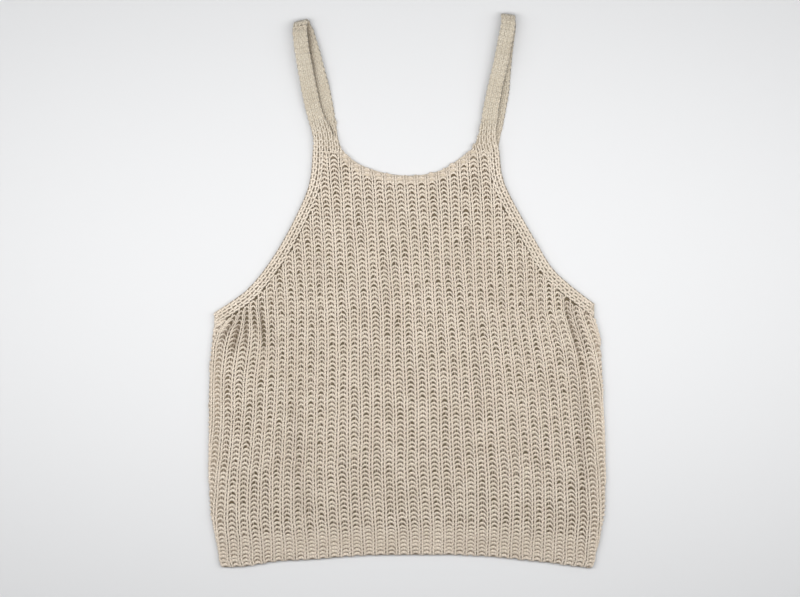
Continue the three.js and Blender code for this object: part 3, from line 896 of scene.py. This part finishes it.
def clothMaterial(name, look):
    # The shells' colours are the yarn's own colour darkened by painted shade, standing for the yarn behind
    # seen in shade between the stitches.
    material = bpy.data.materials.new(name)
    material.use_nodes = True
    nodes, links = material.node_tree.nodes, material.node_tree.links
    shader = nodes["Principled BSDF"]
    shader.inputs["Roughness"].default_value = 0.95
    place = nodes.new("ShaderNodeTexCoord")
    noise = nodes.new("ShaderNodeTexNoise")
    noise.inputs["Scale"].default_value = 260.0
    noise.inputs["Detail"].default_value = 4.0
    links.new(place.outputs["Object"], noise.inputs["Vector"])
    mix = nodes.new("ShaderNodeMix")
    mix.data_type = "RGBA"
    mix.inputs["A"].default_value = look["darker"]
    mix.inputs["B"].default_value = look["lighter"]
    links.new(noise.outputs["Fac"], mix.inputs["Factor"])
    # Less painted shade on the straps' shells, and on the side walls at the body's edges.
    climbed = nodes.new("ShaderNodeMix")
    climbed.data_type = "RGBA"
    climbed.inputs["B"].default_value = look["strap"]
    links.new(mix.outputs["Result"], climbed.inputs["A"])
    links.new(climbFactor(nodes, links, 0.128, 0.205), climbed.inputs["Factor"])
    sided = nodes.new("ShaderNodeMix")
    sided.data_type = "RGBA"
    sided.inputs["B"].default_value = look["side"]
    links.new(climbed.outputs["Result"], sided.inputs["A"])
    links.new(sideFactor(nodes, links, 0.198, 0.212), sided.inputs["Factor"])
    links.new(sided.outputs["Result"], shader.inputs["Base Color"])
    bump = nodes.new("ShaderNodeBump")
    bump.inputs["Strength"].default_value = 0.6
    bump.inputs["Distance"].default_value = 0.4 * mm
    links.new(noise.outputs["Fac"], bump.inputs["Height"])
    links.new(bump.outputs["Normal"], shader.inputs["Normal"])
    return material


yarnLook = {
    "darker": (0.705, 0.61, 0.498, 1), "lighter": (0.842, 0.75, 0.64, 1), "groove": (0.61, 0.52, 0.42, 1),
    "strapTint": (0.80, 0.82, 0.795, 1), "roughness": 0.88, "sheen": 0.25, "twist": 3.6,
}
# Colours of the shells under the yarn: painted shade, lighter where the knit is closer.
strapShellPaintedShade = (0.56, 0.49, 0.39, 1)
ribShellPaintedShade = {
    "darker": (0.10, 0.07, 0.042, 1), "lighter": (0.20, 0.16, 0.105, 1), "strap": strapShellPaintedShade,
    "side": (0.36, 0.30, 0.225, 1),
}
hemShellPaintedShade = {
    "darker": (0.24, 0.19, 0.14, 1), "lighter": (0.36, 0.30, 0.23, 1), "strap": strapShellPaintedShade,
    "side": (0.42, 0.36, 0.28, 1),
}
bandShellPaintedShade = {
    "darker": (0.24, 0.20, 0.15, 1), "lighter": (0.38, 0.32, 0.245, 1), "strap": strapShellPaintedShade,
    "side": (0.60, 0.53, 0.43, 1),
}
neckShellPaintedShade = {
    "darker": (0.52, 0.45, 0.36, 1), "lighter": (0.64, 0.56, 0.45, 1), "strap": strapShellPaintedShade,
    "side": strapShellPaintedShade,
}
oatmealYarn = yarnMaterial("oatmealYarn", yarnLook)
ribCloth = clothMaterial("ribInnerKnit", ribShellPaintedShade)
hemCloth = clothMaterial("hemInnerKnit", hemShellPaintedShade)
bandCloth = clothMaterial("bandInnerKnit", bandShellPaintedShade)
neckCloth = clothMaterial("neckInnerKnit", neckShellPaintedShade)

yarnPieces = ribPieces["front"] + ribPieces["back"] + armholePieces["front"] + armholePieces["back"]
for piece in yarnPieces + list(strapPieces.values()):
    piece.data.materials.append(oatmealYarn)
for node, piece in clothPieces.items():
    under = neckCloth
    if node.endswith("panel"):
        under = ribCloth
    elif node.endswith("hem_rib"):
        under = hemCloth
    elif not node.endswith("neck_band"):
        under = bandCloth
    piece.data.materials.append(under)
print("materials made")

yarnOf = {
    "front_panel": ribPieces["front"], "back_panel": ribPieces["back"],
    "front_left_armhole_band": armholePieces["front"][:1],
    "front_right_armhole_band": armholePieces["front"][1:],
    "back_left_armhole_band": armholePieces["back"][:1],
    "back_right_armhole_band": armholePieces["back"][1:],
    "left_strap": [strapPieces["left"]], "right_strap": [strapPieces["right"]],
}
# Each cloth shell and its yarn hang from the root body, and the node's own solid is hidden.
for node, piece in clothPieces.items():
    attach(piece, "root")
    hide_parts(node)
    yarn = yarnOf.get(node, [])
    for knitted in yarn:
        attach(knitted, "root")
    under = {"front_panel": ["backPanelCloth"]}.get(node, [])

tableMesh = bpy.data.meshes.new("table")
reach = 3.0
steps = 24
stops = [-reach + 2 * reach * step / steps for step in range(steps + 1)]
corners = [(x, y, -0.2 * mm) for x in stops for y in stops]
squares = []
for i in range(steps):
    for j in range(steps):
        corner = i * (steps + 1) + j
        squares.append((corner, corner + steps + 1, corner + steps + 2, corner + 1))
tableMesh.from_pydata(corners, [], squares)
table = bpy.data.objects.new("table", tableMesh)
bpy.context.scene.collection.objects.link(table)
tableMaterial = bpy.data.materials.new("paleTable")
tableMaterial.use_nodes = True
tableShader = tableMaterial.node_tree.nodes["Principled BSDF"]
tableShader.inputs["Base Color"].default_value = (0.71, 0.712, 0.718, 1)
tableShader.inputs["Roughness"].default_value = 0.8
tableShader.inputs["Specular IOR Level"].default_value = 0.1
tableMesh.materials.append(tableMaterial)

world = bpy.data.worlds.new("softRoom")
world.use_nodes = True
world.node_tree.nodes["Background"].inputs["Color"].default_value = (0.98, 0.99, 1.0, 1)
world.node_tree.nodes["Background"].inputs["Strength"].default_value = 0.31
bpy.context.scene.world = world


def softLight(name, place, size, power):
    data = bpy.data.lights.new(name, "AREA")
    data.shape = "RECTANGLE"
    data.size, data.size_y = size
    data.energy = power
    light = bpy.data.objects.new(name, data)
    light.location = place
    light.visible_camera = False
    light.rotation_euler = (Vector((0, place[1], 0)) - Vector(place)).to_track_quat("-Z", "Y").to_euler()
    bpy.context.scene.collection.objects.link(light)
    return light


softLight("ceilingLight", (0, 0.03, 0.75), (1.6, 0.3), 8.35)
softLight("leftLight", (-1.6, 0.1, 1.0), (0.8, 0.8), 3.3)
softLight("rightLight", (1.6, 0.1, 1.0), (0.8, 0.8), 2.9)

view = {"height": 1.5, "frameWidth": 0.891, "aimX": -7.8 * mm, "aimY": -8.4 * mm}
cameraData = bpy.data.cameras.new("overheadCamera")
cameraData.sensor_width = 36
cameraData.lens = 36 * view["height"] / view["frameWidth"]
camera = bpy.data.objects.new("overheadCamera", cameraData)
camera.location = (view["aimX"], view["aimY"], view["height"])
bpy.context.scene.collection.objects.link(camera)
bpy.context.scene.camera = camera
bpy.context.scene.view_settings.view_transform = "Standard"
